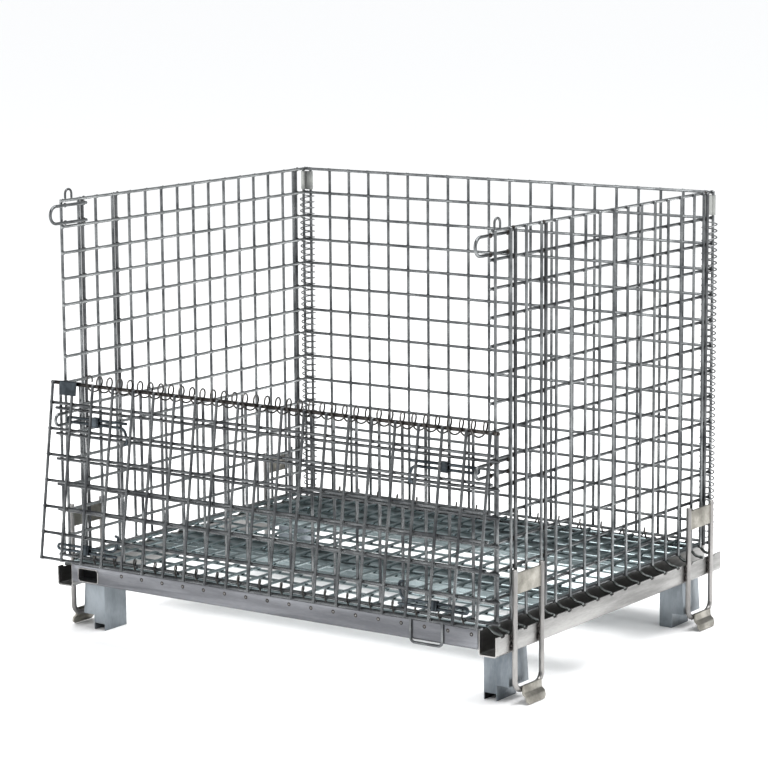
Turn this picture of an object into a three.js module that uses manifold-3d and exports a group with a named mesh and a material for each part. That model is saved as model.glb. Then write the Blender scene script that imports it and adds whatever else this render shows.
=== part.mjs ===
// Collapsible wire mesh container on a pressed steel base, standing on its feet with the
// upper half of the front folded down. Millimetres, +Z up, front towards -Y. The origin is on the
// floor under the middle of the whole outline.
import * as THREE from 'three';
import { mergeVertices } from 'three/addons/utils/BufferGeometryUtils.js';
import Module from 'manifold-3d';

const wasm = await Module();
wasm.setup();

// ---- driving dimensions ---------------------------------------------------------------------
const PITCH = 50;                 // mesh opening, centre to centre
const WIRE_R = 2.9;               // corner radius of the four-sided mesh wires
const GAP = 0.3;                  // clearance between pieces that touch
const LAYER = 2 * WIRE_R + GAP;   // uprights to crosswires
const KNIT = 0.5;                 // how far a border wire sinks towards the other layer
const TIP = 8;                    // crosswire end past the last upright
const STUB = 3;                   // upright end past the last crosswire
const SIDE_STUB = 2;              // the same on the side panels
const DECK_TIP = 4;               // straight end of a deck crosswire, before its dip
const DECK_DIP = [[478, 0], [489, -9.2], [505.5, -11.5]];   // its end over the side rail, (x, rise)
const NOTCH = { wide: 14, floor: 130 };            // of the side rails' outer walls

const SHEET = 2.5;                // rail sheet
const RAIL_TOP = 143;             // the deck lies on this height
const RAIL_BOTTOM = 107;          // front and rear rails
const SIDE_RAIL_BOTTOM = 97;
const SIDE_RAIL_OUTER_TOP = 134;  // outer walls of the side rails
const RAIL_OUT_X = 507;           // outer face of the side rails
const RAIL_WIDE = 38;
const FRONT_FACE_Y = -22;         // outer face of the front rail
const REAR_FACE_Y = 796;          // outer face of the rear rail
const SIDE_RAIL_INSET = 2;        // side rails stop short of both faces
const REAR_INNER_DROP = 12;       // the rear rail's inner wall stays below the spiral
const WINDOW = { x0: -452, x1: -404, z0: 112, z1: 137 };    // opening of the front rail
const CHANNEL_DEEP = 20;          // deck channels
const CHANNELS_Y = { front: [265, 345], middle: [572, 648], rear: [656, 736] };

const TOP_ROW = 845;              // top crosswire of every wall
const HINGE_ROW = 495;            // top crosswire of the lower front panel
const FIRST_ROW = 195;            // lowest full-pitch row of every wall
const BACK_UPRIGHTS = 20;
const FRONT_UPRIGHTS = 21;
const SIDE_WIRES_X = 486.5;       // crosswires of the side panels
const SIDE_UPRIGHTS_Y = [...Array(15).keys()].map((i) => i * PITCH).concat(737, 774);
const BACK_WIRES_Y = 771;         // crosswires of the back panel
const FRONT_WIRES_Y = -11.75;     // crosswires of the lower front panel
const FRONT_BOTTOM_ROW = 156;
const SIDE_BOTTOM_ROW = 153;

const GATE_LEAN = THREE.MathUtils.degToRad(7.8);   // the folded gate stands off at its foot
const GATE_WIRE_OPEN = [-22, 497];                 // gate hinge wire folded down, as (y, z)
const GATE_WIRE_SHUT = [FRONT_WIRES_Y, 506];       // the same wire with the gate up

const COIL_R = 15.5;              // middle radius of the hinge spirals
const COIL_WIRE_R = 1.9;
const COIL_STEPS = 6;
const GATE_COIL = [-14.6, 500.4];                  // middle of the gate's spiral, as (y, z)
const FRONT_BASE_COIL = [-4.4, 151.5];
const BACK_BASE_COIL = [767, 152];
const REAR_COIL = [483.8, 775.5];                  // middle of the upright spirals, as (x, y)
const CLIP_SHEET = 1.5;
const GATE_CLIP = { x0: -478, x1: -437, drop: 22, lip: 4 };
const REAR_CLIP_Z = [801, 839];

const STIFFENER_R = 3.4;
const STIFFENER_Y = [62, 162, 748];                // by the second, the fourth and the 16th wire
const STIFFENER_Z = [154, TOP_ROW];

const ROD_R = 3;                  // keeper rod
const KEEPER_Y = [-48, 60];       // nose and leg ends of a keeper
const UPPER_KEEPER_HALF = 17;     // half the spacing of a keeper's legs
const LOWER_KEEPER_HALF = 11;
const STAPLE = { r: 2.4, y: 15, half: 9, leg: 9 };
const BOLT_R = 2.75;
const BOLT_HALF = 4.6;            // half the spacing of a bolt's two rods
const BOLT_TIP_X = 474;           // tip of a drawn-back bolt
const BOLT_LENGTH = 150;
const BOLT_THUMB = [[18, 0], [6, 5], [0, 26], [8, 31]];    // thumb piece, as (along, down)
const BOLT_OUT_Y = -20;           // bolt rods, in front of the panel's crosswires
const LOWER_BOLT_Z = 427;
const UPPER_BOLT_Z = TOP_ROW - PITCH / 2;          // the gate's bolts, with the gate up
const SLEEVE = { x: 400, long: 16, wall: 1.5, playUp: 0.7, playDeep: 0.5 };

const FOOT = {
  inner: 441, outer: 490, step: 469, stepZ: 29, y0: 40, y1: 105, sheet: 2, flare: 5, mouth: 13,
};
const LOOP = { r: 5, legs: [30.5, 120.5], top: 247, bottom: 27, bend: 20 };    // guide loops
const LOOP_X = RAIL_OUT_X + GAP + LOOP.r;
const LOOP_PLATE = { half: 2, z0: 202, z1: 240 };
const HOOK = {
  thick: 3.5,
  wide: 62,
  line: [[5.4, 35], [6, 24], [7.5, 18.5], [12.5, 14], [14, 8.5], [16, 1]],
};
const PULL_LOOP = { r: 2.6, x0: 328, x1: 396, top: 150, bottom: 103.5, bend: 8 };

// ---- colours ----------------------------------------------------------------------------------
const finish = (color, roughness, metalness) => () =>
  new THREE.MeshStandardMaterial({ color, roughness, metalness });
const zincWire = finish(0x8d9294, 0.42, 0.9);
const darkWire = finish(0x4b4e50, 0.5, 0.85);
const railZinc = finish(0x9a9fa1, 0.45, 0.85);
const footZinc = finish(0x93a0a8, 0.45, 0.85);
const deckZinc = finish(0x7f939a, 0.4, 0.85);
const loopSteel = finish(0xa9a6a0, 0.4, 0.85);
const hookSteel = finish(0xb1ab9c, 0.5, 0.75);
const slateSheet = finish(0x3c4449, 0.55, 0.7);

// ---- solids -----------------------------------------------------------------------------------
// A closed geometry as a manifold solid, with its faces turned outwards.
function solid(geometry) {
  const bare = new THREE.BufferGeometry();
  bare.setAttribute('position', geometry.getAttribute('position').clone());
  if (geometry.index) bare.setIndex(geometry.index.clone());
  const merged = mergeVertices(bare, 1e-3);
  const points = merged.getAttribute('position').array;
  const faces = [...merged.index.array];
  const corner = (i) => new THREE.Vector3().fromArray(points, 3 * i);
  const kept = [];
  let volume = 0;
  for (let i = 0; i < faces.length; i += 3) {
    const [a, b, c] = faces.slice(i, i + 3);
    if (a === b || b === c || c === a) continue;
    kept.push([a, b, c]);
    volume += corner(a).dot(corner(b).cross(corner(c)));
  }
  const turned = kept.flatMap(([a, b, c]) => (volume < 0 ? [a, c, b] : [a, b, c]));
  return new wasm.Manifold(new wasm.Mesh({
    numProp: 3,
    vertProperties: Float32Array.from(points),
    triVerts: Uint32Array.from(turned),
  }));
}

function joined(solids) {
  return solids.reduce((whole, piece) => whole.add(piece));
}

function geometryOf(manifold) {
  const mesh = manifold.getMesh();
  const geometry = new THREE.BufferGeometry();
  geometry.setAttribute('position', new THREE.BufferAttribute(mesh.vertProperties, 3));
  geometry.setIndex(new THREE.BufferAttribute(mesh.triVerts, 1));
  geometry.computeVertexNormals();
  return geometry;
}

// A block from its lowest to its highest corner.
function block([x0, y0, z0], [x1, y1, z1]) {
  const box = new THREE.BoxGeometry(x1 - x0, y1 - y0, z1 - z0);
  box.translate((x0 + x1) / 2, (y0 + y1) / 2, (z0 + z1) / 2);
  return solid(box);
}

// A straight four-sided wire along x or y, its ridges facing the layers.
function straightWire(axis, from, to, x, y, z) {
  const bar = new THREE.CylinderGeometry(WIRE_R, WIRE_R, to - from, 4);
  if (axis === 'x') bar.rotateZ(Math.PI / 2);
  const middle = (from + to) / 2;
  bar.translate(axis === 'x' ? middle : x, axis === 'y' ? middle : y, z);
  return solid(bar);
}

// A path of straight legs whose stations fall on its own corners.
class BentPath extends THREE.Curve {
  constructor(points) {
    super();
    this.points = points;
  }

  getPoint(t) {
    const legs = this.points.length - 1;
    const i = Math.min(Math.floor(t * legs + 1e-9), legs - 1);
    return this.points[i].clone().lerp(this.points[i + 1], t * legs - i);
  }

  getPointAt(u) {
    return this.getPoint(u);
  }

  getTangentAt(u) {
    const last = this.points.length - 1;
    const i = Math.round(u * last);
    const before = this.points[Math.max(i - 1, 0)];
    const after = this.points[Math.min(i + 1, last)];
    const here = this.points[i];
    const into = here.clone().sub(before).normalize();
    const out = after.clone().sub(here).normalize();
    return into.add(out).normalize();
  }
}

// A bent rod with a regular section.
function rod(points, radius, sides) {
  const section = new THREE.Shape([...Array(sides).keys()].map((i) => {
    const angle = (i + 0.5) * 2 * Math.PI / sides;
    return new THREE.Vector2(radius * Math.cos(angle), radius * Math.sin(angle));
  }));
  const path = new BentPath(points);
  return solid(new THREE.ExtrudeGeometry(section, {
    steps: points.length - 1, extrudePath: path, curveSegments: 1,
  }));
}

// Points of an arc about a centre, from one angle to another, mapped by a function of (u, v).
function arc([cu, cv], radius, from, to, steps, place) {
  return [...Array(steps + 1).keys()].map((i) => {
    const angle = THREE.MathUtils.degToRad(from + (to - from) * i / steps);
    return place(cu + radius * Math.cos(angle), cv + radius * Math.sin(angle));
  });
}

// A sheet or plate outline in its own x and y, extruded along z.
function plate(outline, depth) {
  const shape = new THREE.Shape(outline.map(([x, y]) => new THREE.Vector2(x, y)));
  return new THREE.ExtrudeGeometry(shape, { depth, bevelEnabled: false });
}

// The same outline given in (y, z), extruded along x from a start.
function alongX(outline, start, length) {
  const geometry = plate(outline, length);
  geometry.rotateX(Math.PI / 2).rotateZ(Math.PI / 2);
  geometry.translate(start, 0, 0);
  return solid(geometry);
}

// An outline in (x, z), extruded along y from a start.
function alongY(outline, start, length) {
  const geometry = plate(outline, length);
  geometry.rotateX(Math.PI / 2);
  geometry.translate(0, start + length, 0);
  return solid(geometry);
}

function node(name, manifold, material) {
  const mesh = new THREE.Mesh(geometryOf(manifold), material());
  mesh.name = name;
  return mesh;
}

// ---- welded mesh ------------------------------------------------------------------------------
// Uprights run along y and crosswires along x, in two layers. The first and last wire each way sink
// a little towards the other layer, so that each wire is held at both its ends.
function weldedMesh({ uprights, rows, uprightZ, rowZ, tip = TIP, stub = STUB }) {
  const towards = Math.sign(rowZ - uprightZ);
  const border = (list, i) => (i === 0 || i === list.length - 1 ? KNIT : 0);
  const [x0, x1] = [uprights[0] - tip, uprights.at(-1) + tip];
  const [y0, y1] = [rows[0] - stub, rows.at(-1) + stub];
  const wires = uprights.map((x, i) =>
    straightWire('y', y0, y1, x, 0, uprightZ + towards * border(uprights, i)));
  rows.forEach((y, i) => {
    wires.push(straightWire('x', x0, x1, 0, y, rowZ - towards * border(rows, i)));
  });
  return joined(wires);
}

const evenly = (count) => [...Array(count).keys()].map((i) => (i - (count - 1) / 2) * PITCH);
const rowsFrom = (bottom, full, top) => {
  const list = [bottom];
  for (let z = full; z <= top + 1e-6; z += PITCH) list.push(z);
  return list;
};

// Stands a panel that was made flat in x and y upright, its upper side towards -Y.
const upright = (mesh) => mesh.rotateX(Math.PI / 2);

function backPanel() {
  const mesh = node('back_panel', weldedMesh({
    uprights: evenly(BACK_UPRIGHTS),
    rows: rowsFrom(FRONT_BOTTOM_ROW, FIRST_ROW, TOP_ROW),
    uprightZ: -LAYER,
    rowZ: 0,
  }), zincWire);
  upright(mesh).position.y = BACK_WIRES_Y;
  return mesh;
}

// side is -1 for the left panel and 1 for the right one; the uprights are on the outside.
function sidePanel(side, name) {
  const mesh = node(name, weldedMesh({
    uprights: SIDE_UPRIGHTS_Y,
    rows: rowsFrom(SIDE_BOTTOM_ROW, FIRST_ROW, TOP_ROW),
    uprightZ: side * LAYER,
    rowZ: 0,
    stub: SIDE_STUB,
  }), zincWire);
  mesh.rotation.setFromRotationMatrix(new THREE.Matrix4().makeBasis(
    new THREE.Vector3(0, 1, 0), new THREE.Vector3(0, 0, 1), new THREE.Vector3(1, 0, 0)));
  mesh.position.x = side * SIDE_WIRES_X;
  return mesh;
}

// A heavier upright on the outside of a side panel.
function stiffener(side, y, name) {
  const bar = rod(STIFFENER_Z.map((z) => new THREE.Vector3(0, 0, z)), STIFFENER_R, 6);
  const mesh = node(name, bar, darkWire);
  mesh.position.set(side * (SIDE_WIRES_X + WIRE_R + KNIT + GAP + STIFFENER_R), y, 0);
  return mesh;
}

function lowerFrontPanel() {
  const mesh = node('lower_front_panel', weldedMesh({
    uprights: evenly(FRONT_UPRIGHTS),
    rows: rowsFrom(FRONT_BOTTOM_ROW, FIRST_ROW, HINGE_ROW),
    uprightZ: -LAYER,
    rowZ: 0,
  }), zincWire);
  upright(mesh).position.y = FRONT_WIRES_Y;
  return mesh;
}

// ---- gate -------------------------------------------------------------------------------------
// The gate hangs from its hinge wire. Its pieces are made as it stands when shut, with the hinge
// wire at the group's origin, and the group is turned down and outwards.
const GATE_TURN = Math.PI - GATE_LEAN;

function dropGate() {
  const rise = (z) => z - GATE_WIRE_SHUT[1];
  const gate = new THREE.Group();
  const mesh = node('drop_gate', weldedMesh({
    uprights: evenly(FRONT_UPRIGHTS),
    rows: [0, ...rowsFrom(HINGE_ROW + PITCH, HINGE_ROW + 2 * PITCH, TOP_ROW).map(rise)],
    uprightZ: -LAYER,
    rowZ: 0,
  }), zincWire);
  gate.add(upright(mesh));
  for (const [side, name] of [[-1, 'left'], [1, 'right']]) {
    const bolt = slideBolt(side, `bolt_gate_${name}`, 1);
    const sleeve = boltSleeve(side, `bolt_sleeve_gate_${name}`);
    for (const piece of [bolt, sleeve]) {
      piece.position.set(0, BOLT_OUT_Y - FRONT_WIRES_Y, rise(UPPER_BOLT_Z));
      gate.add(piece);
    }
  }
  gate.add(gateClip());
  gate.position.set(0, ...GATE_WIRE_OPEN);
  gate.rotation.x = GATE_TURN;
  return gate;
}

// ---- bolts ------------------------------------------------------------------------------------
// A hairpin of rod with a rounded tip. Its lower rod turns out at the inner end as a thumb piece.
function slideBolt(side, name, up) {
  const at = (x, z) => new THREE.Vector3(side * x, 0, z);
  const inner = BOLT_TIP_X - BOLT_LENGTH;
  const noseX = BOLT_TIP_X - BOLT_R - BOLT_HALF;
  const path = [
    at(inner, up * BOLT_HALF),
    ...arc([noseX, 0], BOLT_HALF, 90, -90, 4, (x, z) => at(x, up * z)),
    ...BOLT_THUMB.map(([along, down]) => at(inner + along, -up * (BOLT_HALF + down))),
  ];
  return node(name, rod(path, BOLT_R, 5), darkWire);
}

// A flat sleeve around both rods, fixed to the panel's crosswires.
function boltSleeve(side, name) {
  const high = BOLT_HALF + BOLT_R + SLEEVE.playUp;
  const deep = BOLT_R + SLEEVE.playDeep;
  const { wall } = SLEEVE;
  const x0 = side * SLEEVE.x - SLEEVE.long / 2;
  const x1 = x0 + SLEEVE.long;
  const shell = block([x0, -deep - wall, -high - wall], [x1, deep + wall, high + wall]);
  const tunnel = block([x0 - 1, -deep, -high], [x1 + 1, deep, high]);
  return node(name, shell.subtract(tunnel), slateSheet);
}

// A keeper is a loop of rod with a round nose. Its legs lie inside the side panel, from the first
// stiffener forward, and its nose stands out through the first cell of the front.
function keeper(side, z, half, name) {
  const noseY = KEEPER_Y[0] + ROD_R + half;
  const x = side * (SIDE_WIRES_X - WIRE_R - GAP - ROD_R);
  const at = (y, dz) => new THREE.Vector3(x, y, z + dz);
  const path = [
    at(KEEPER_Y[1], half),
    ...arc([noseY, 0], half, 90, 270, 6, at),
    at(KEEPER_Y[1], -half),
  ];
  return node(name, rod(path, ROD_R, 6), zincWire);
}

// A small staple on the top wire near the front.
function topStaple(side, name) {
  const x = side * SIDE_WIRES_X;
  const at = (y, z) => new THREE.Vector3(x, y, z);
  const foot = TOP_ROW + WIRE_R + GAP;
  const { y, half, leg } = STAPLE;
  const path = [
    at(y - half, foot),
    ...arc([y, foot + leg], half, 180, 0, 4, at),
    at(y + half, foot),
  ];
  return node(name, rod(path, STAPLE.r, 5), darkWire);
}

// ---- spirals and clips ------------------------------------------------------------------------
// A coil along a direction. phase is the angle in degrees, from the first cross direction to the
// second, where the coil stands at a station that lies a whole number of pitches from zero.
function coil(name, { from, to, centre, phase, place }) {
  const turns = (to - from) / PITCH;
  const count = Math.round(turns * COIL_STEPS);
  const points = [...Array(count + 1).keys()].map((i) => {
    const along = from + (to - from) * i / count;
    const angle = THREE.MathUtils.degToRad(phase + 360 * along / PITCH);
    return place(along, centre[0] + COIL_R * Math.cos(angle), centre[1] + COIL_R * Math.sin(angle));
  });
  return node(name, rod(points, COIL_WIRE_R, 3), darkWire);
}

const alongXPlace = (x, y, z) => new THREE.Vector3(x, y, z);

function gateSpiral() {
  return coil('spiral_gate', {
    from: -425, to: 490, centre: GATE_COIL, phase: 0, place: alongXPlace,
  });
}

function frontBaseSpiral() {
  return coil('spiral_front_base', {
    from: -460, to: 460, centre: FRONT_BASE_COIL, phase: -94, place: alongXPlace,
  });
}

function backBaseSpiral() {
  return coil('spiral_back_base', {
    from: -460, to: 460, centre: BACK_BASE_COIL, phase: 90, place: alongXPlace,
  });
}

function rearSpiral(side, name) {
  return coil(name, {
    from: 160,
    to: 790,
    centre: REAR_COIL,
    phase: 58 - 360 * (FIRST_ROW % PITCH) / PITCH,
    place: (z, x, y) => new THREE.Vector3(side * x, y, z),
  });
}

// The gate's clip hooks over the hinge wire and the upright beside it, and its leaf lies along the
// first cell. It is made in the shut gate's own place, with the hinge wire at the origin.
function gateClip() {
  const { x0, x1, drop, lip } = GATE_CLIP;
  const edge = -WIRE_R - GAP;
  const [outer, over] = [edge - CLIP_SHEET, -STUB - GAP];
  const inner = LAYER + WIRE_R + GAP;
  const leaf = inner + CLIP_SHEET;
  const outline = [
    [outer, over - CLIP_SHEET], [leaf, over - CLIP_SHEET], [leaf, drop], [inner, drop],
    [inner, over], [edge, over], [edge, lip], [outer, lip],
  ];
  return node('clip_gate', alongX(outline, x0, x1 - x0), slateSheet);
}

// A flat sleeve round the last upright of a side panel and the first one of the back panel.
function rearClip(side, name) {
  const wires = [
    [side * (SIDE_WIRES_X + LAYER - KNIT), SIDE_UPRIGHTS_Y.at(-1)],
    [side * evenly(BACK_UPRIGHTS).at(-1), BACK_WIRES_Y + LAYER - KNIT],
  ];
  const [[ax, ay], [bx, by]] = wires;
  const facing = THREE.MathUtils.radToDeg(Math.atan2(ay - by, ax - bx));
  const ring = (radius) => wires.flatMap((wire, i) => arc(
    wire, radius, facing - 90 + 180 * i, facing + 90 + 180 * i, 4,
    (x, y) => new THREE.Vector2(x, y)));
  const shape = new THREE.Shape(ring(WIRE_R + GAP + CLIP_SHEET));
  shape.holes.push(new THREE.Path(ring(WIRE_R + GAP)));
  const [z0, z1] = REAR_CLIP_Z;
  const tube = new THREE.ExtrudeGeometry(shape, { depth: z1 - z0, bevelEnabled: false });
  return node(name, solid(tube.translate(0, 0, z0)), slateSheet);
}

// ---- base -------------------------------------------------------------------------------------
// Rails are channels, open at the top. The deck lies on the front and rear rails and on the inner
// walls of the side rails, and its wire ends lie in notches of their outer walls.
const DECK_X_WIRES_Z = RAIL_TOP + GAP + WIRE_R;
const DECK_Y_WIRES_Z = DECK_X_WIRES_Z + LAYER;
const DECK_X_WIRES_Y = [0.5, ...[...Array(15).keys()].map((i) => 25 + i * PITCH), 762];

function channelOutline(outer, inner, bottom, outerTop, innerTop) {
  const t = Math.sign(inner - outer) * SHEET;
  return [
    [outer, bottom], [inner, bottom], [inner, innerTop], [inner - t, innerTop],
    [inner - t, bottom + SHEET], [outer + t, bottom + SHEET], [outer + t, outerTop],
    [outer, outerTop],
  ];
}

function sideRail(side, name) {
  const outline = channelOutline(side * RAIL_OUT_X, side * (RAIL_OUT_X - RAIL_WIDE),
    SIDE_RAIL_BOTTOM, SIDE_RAIL_OUTER_TOP, RAIL_TOP);
  const start = FRONT_FACE_Y + SIDE_RAIL_INSET;
  const rail = alongY(outline, start, REAR_FACE_Y - SIDE_RAIL_INSET - start);
  const walls = [side * (RAIL_OUT_X - SHEET - 1), side * (RAIL_OUT_X + 1)].sort((a, b) => a - b);
  const notches = DECK_X_WIRES_Y.map((y) => block(
    [walls[0], y - NOTCH.wide / 2, NOTCH.floor],
    [walls[1], y + NOTCH.wide / 2, SIDE_RAIL_OUTER_TOP + 1]));
  return node(name, rail.subtract(joined(notches)), railZinc);
}

const CROSS_RAIL_HALF = RAIL_OUT_X - RAIL_WIDE - GAP;

function frontRail() {
  const outline = channelOutline(FRONT_FACE_Y, FRONT_FACE_Y + RAIL_WIDE, RAIL_BOTTOM,
    RAIL_TOP, RAIL_TOP);
  const rail = alongX(outline, -CROSS_RAIL_HALF, 2 * CROSS_RAIL_HALF);
  const window = block([WINDOW.x0, FRONT_FACE_Y - 1, WINDOW.z0],
    [WINDOW.x1, FRONT_FACE_Y + SHEET + 1, WINDOW.z1]);
  return node('rail_front', rail.subtract(window), railZinc);
}

function rearRail() {
  const outline = channelOutline(REAR_FACE_Y, REAR_FACE_Y - RAIL_WIDE, RAIL_BOTTOM,
    RAIL_TOP, RAIL_TOP - REAR_INNER_DROP);
  return node('rail_rear', alongX(outline, -CROSS_RAIL_HALF, 2 * CROSS_RAIL_HALF), railZinc);
}

// The deck's long wires dip over the side rails, and its cross wires lie on top of them.
function deckMesh() {
  const mesh = weldedMesh({
    uprights: evenly(BACK_UPRIGHTS),
    rows: DECK_X_WIRES_Y,
    uprightZ: DECK_Y_WIRES_Z,
    rowZ: DECK_X_WIRES_Z,
    tip: DECK_TIP,
  });
  const ends = DECK_X_WIRES_Y.flatMap((y) => [-1, 1].map((side) => rod(
    DECK_DIP.map(([x, rise]) => new THREE.Vector3(side * x, y, DECK_X_WIRES_Z + rise)),
    WIRE_R * Math.SQRT2, 4)));
  return node('deck_mesh', mesh.add(joined(ends)), deckZinc);
}

// Shallow channels under the deck, open downwards, from side rail to side rail.
function deckChannel(name, [y0, y1]) {
  const top = RAIL_TOP;
  const low = top - CHANNEL_DEEP;
  const outline = [
    [y0, low], [y0 + SHEET, low], [y0 + SHEET, top - SHEET],
    [y1 - SHEET, top - SHEET], [y1 - SHEET, low], [y1, low], [y1, top], [y0, top],
  ];
  return node(name, alongX(outline, -CROSS_RAIL_HALF, 2 * CROSS_RAIL_HALF), deckZinc);
}

// A foot is folded from sheet, open below. Its outer part stops short, so that it stands on the
// rim of the container below while its inner part reaches down inside.
function foot(side, end, name) {
  const { inner, outer, step, stepZ, y0, y1, sheet, flare } = FOOT;
  const top = SIDE_RAIL_BOTTOM - GAP;
  const mirror = (list) => list.map(([x, z]) => [side * x, z]);
  const outside = mirror([
    [inner, 0], [step, 0], [step, stepZ], [outer + flare, stepZ], [outer, top], [inner, top],
  ]);
  const inside = mirror([
    [inner + sheet, -1], [step - sheet, -1], [step - sheet, stepZ + sheet], [step, stepZ + sheet],
    [step, stepZ - 1], [outer + flare - sheet, stepZ - 1], [outer - sheet, top - sheet],
    [inner + sheet, top - sheet],
  ]);
  const start = end < 0 ? y0 : SIDE_UPRIGHTS_Y.at(-1) - y1;
  const shell = alongY(outside, start, y1 - y0)
    .subtract(alongY(inside, start + sheet, y1 - y0 - 2 * sheet));
  const [xa, xb] = [side * (inner + sheet), side * (step - sheet)].sort((a, b) => a - b);
  const faceY = end < 0 ? start : start + y1 - y0 - sheet;
  const mouth = block([xa, faceY - 1, -1], [xb, faceY + sheet + 1, FOOT.mouth]);
  return node(name, shell.subtract(mouth), footZinc);
}

// Guide loops stand outside the side rails near each corner: a U of bar, a flat across its legs and
// a curved hook plate at its foot that leads the container onto the one below.
const loopY = (end, y) => (end < 0 ? y : SIDE_UPRIGHTS_Y.at(-1) - y);

function guideLoop(side, end, name) {
  const { legs: [ya, yb], top, bottom, bend } = LOOP;
  const at = (y, z) => new THREE.Vector3(side * LOOP_X, loopY(end, y), z);
  const path = [
    at(ya, top),
    ...arc([ya + bend, bottom + bend], bend, 180, 270, 3, at),
    ...arc([yb - bend, bottom + bend], bend, 270, 360, 3, at),
    at(yb, top),
  ];
  return node(name, rod(path, LOOP.r, 6), loopSteel);
}

function guidePlate(side, end, name) {
  const [ya, yb] = LOOP.legs.map((y) => loopY(end, y)).sort((a, b) => a - b);
  const reach = LOOP.r + GAP;
  const x = side * LOOP_X;
  const { half, z0, z1 } = LOOP_PLATE;
  const flat = block([x - half, ya + reach, z0], [x + half, yb - reach, z1]);
  return node(name, flat, hookSteel);
}

function guideHook(side, end, name) {
  const { thick, wide, line } = HOOK;
  const over = line.map(([x, z], i) => {
    const [px, pz] = line[Math.max(i - 1, 0)];
    const [nx, nz] = line[Math.min(i + 1, line.length - 1)];
    const length = Math.hypot(nx - px, nz - pz);
    return [x - thick * (nz - pz) / length, z + thick * (nx - px) / length];
  });
  const outline = [...line, ...over.reverse()].map(([x, z]) => [side * (LOOP_X + x), z]);
  const middle = loopY(end, (LOOP.legs[0] + LOOP.legs[1]) / 2);
  return node(name, alongY(outline, middle - wide / 2, wide), hookSteel);
}

// A wire loop on the face of the front rail.
function pullLoop() {
  const { r, x0, x1, top, bottom, bend } = PULL_LOOP;
  const at = (x, z) => new THREE.Vector3(x, FRONT_FACE_Y - GAP - r, z);
  const path = [
    at(x0, top),
    ...arc([x0 + bend, bottom + bend], bend, 180, 270, 2, at),
    ...arc([x1 - bend, bottom + bend], bend, 270, 360, 2, at),
    at(x1, top),
  ];
  return node('pull_loop', rod(path, r, 6), zincWire);
}

// ---- assembly ---------------------------------------------------------------------------------
const container = new THREE.Group();
container.add(
  frontRail(),
  rearRail(),
  deckMesh(),
  ...Object.entries(CHANNELS_Y).map(([place, span]) => deckChannel(`deck_channel_${place}`, span)),
  pullLoop(),
  backPanel(),
  lowerFrontPanel(),
  dropGate(),
  gateSpiral(),
  frontBaseSpiral(),
  backBaseSpiral(),
);

for (const [side, sideName] of [[-1, 'left'], [1, 'right']]) {
  container.add(
    sideRail(side, `rail_${sideName}`),
    sidePanel(side, `side_panel_${sideName}`),
    rearSpiral(side, `spiral_rear_${sideName}`),
    rearClip(side, `clip_rear_${sideName}`),
    topStaple(side, `top_staple_${sideName}`),
    keeper(side, UPPER_BOLT_Z, UPPER_KEEPER_HALF, `keeper_upper_${sideName}`),
    keeper(side, LOWER_BOLT_Z, LOWER_KEEPER_HALF, `keeper_lower_${sideName}`),
  );
  STIFFENER_Y.forEach((y, i) => {
    container.add(stiffener(side, y, `stiffener_${sideName}_${i + 1}`));
  });
  const lowerBolt = slideBolt(side, `bolt_lower_${sideName}`, 1);
  const lowerSleeve = boltSleeve(side, `bolt_sleeve_lower_${sideName}`);
  for (const piece of [lowerBolt, lowerSleeve]) {
    piece.position.set(0, BOLT_OUT_Y, LOWER_BOLT_Z);
    container.add(piece);
  }
  for (const [end, endName] of [[-1, 'front'], [1, 'rear']]) {
    const corner = `${endName}_${sideName}`;
    container.add(
      foot(side, end, `foot_${corner}`),
      guideLoop(side, end, `guide_loop_${corner}`),
      guidePlate(side, end, `guide_plate_${corner}`),
      guideHook(side, end, `guide_hook_${corner}`),
    );
  }
}

// The outline is centred on the origin.
container.updateMatrixWorld(true);
const outline = new THREE.Box3().setFromObject(container, true);
container.position.y = -(outline.min.y + outline.max.y) / 2;

export default container;
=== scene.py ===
import math

import bmesh
import bpy
from mathutils import Matrix, Vector


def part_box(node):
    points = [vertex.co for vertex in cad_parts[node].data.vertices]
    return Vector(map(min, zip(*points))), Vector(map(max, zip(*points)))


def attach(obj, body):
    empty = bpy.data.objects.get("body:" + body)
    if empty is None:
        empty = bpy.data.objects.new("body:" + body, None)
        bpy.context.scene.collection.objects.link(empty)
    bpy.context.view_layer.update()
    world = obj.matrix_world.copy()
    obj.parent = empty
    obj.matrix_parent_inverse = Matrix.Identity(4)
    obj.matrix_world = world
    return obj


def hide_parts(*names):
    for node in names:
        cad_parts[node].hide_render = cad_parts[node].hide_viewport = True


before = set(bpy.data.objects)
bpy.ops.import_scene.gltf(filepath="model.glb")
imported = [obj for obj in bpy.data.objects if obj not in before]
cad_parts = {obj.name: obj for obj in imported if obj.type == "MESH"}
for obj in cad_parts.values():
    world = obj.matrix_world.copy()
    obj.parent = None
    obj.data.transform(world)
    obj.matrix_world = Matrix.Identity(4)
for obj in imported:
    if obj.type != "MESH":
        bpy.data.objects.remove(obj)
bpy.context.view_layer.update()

# ---- camera -----------------------------------------------------------------------------------
# A long lens looks from the right of the front and a little above, at the whole container. It is
# turned slightly about its own axis.
azimuth, elevation, roll = math.radians(35.103), math.radians(9.529), math.radians(-0.42)
level_right = Vector((math.cos(azimuth), math.sin(azimuth), 0))
ahead = Vector((-math.sin(azimuth) * math.cos(elevation),
                math.cos(azimuth) * math.cos(elevation), -math.sin(elevation)))
level_up = level_right.cross(ahead)
right = math.cos(roll) * level_right + math.sin(roll) * level_up
up = -math.sin(roll) * level_right + math.cos(roll) * level_up
camera_data = bpy.data.cameras.new("camera")
camera_data.lens = 135.69                  # mm
camera_data.sensor_width = 36
camera_data.clip_end = 200
camera = bpy.data.objects.new("camera", camera_data)
STAND = (3.1699, -4.5035, 1.4086)          # metres
camera.matrix_world = Matrix.Translation(STAND) @ Matrix(
    (right, up, -ahead)).transposed().to_4x4()
bpy.context.scene.collection.objects.link(camera)
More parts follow.
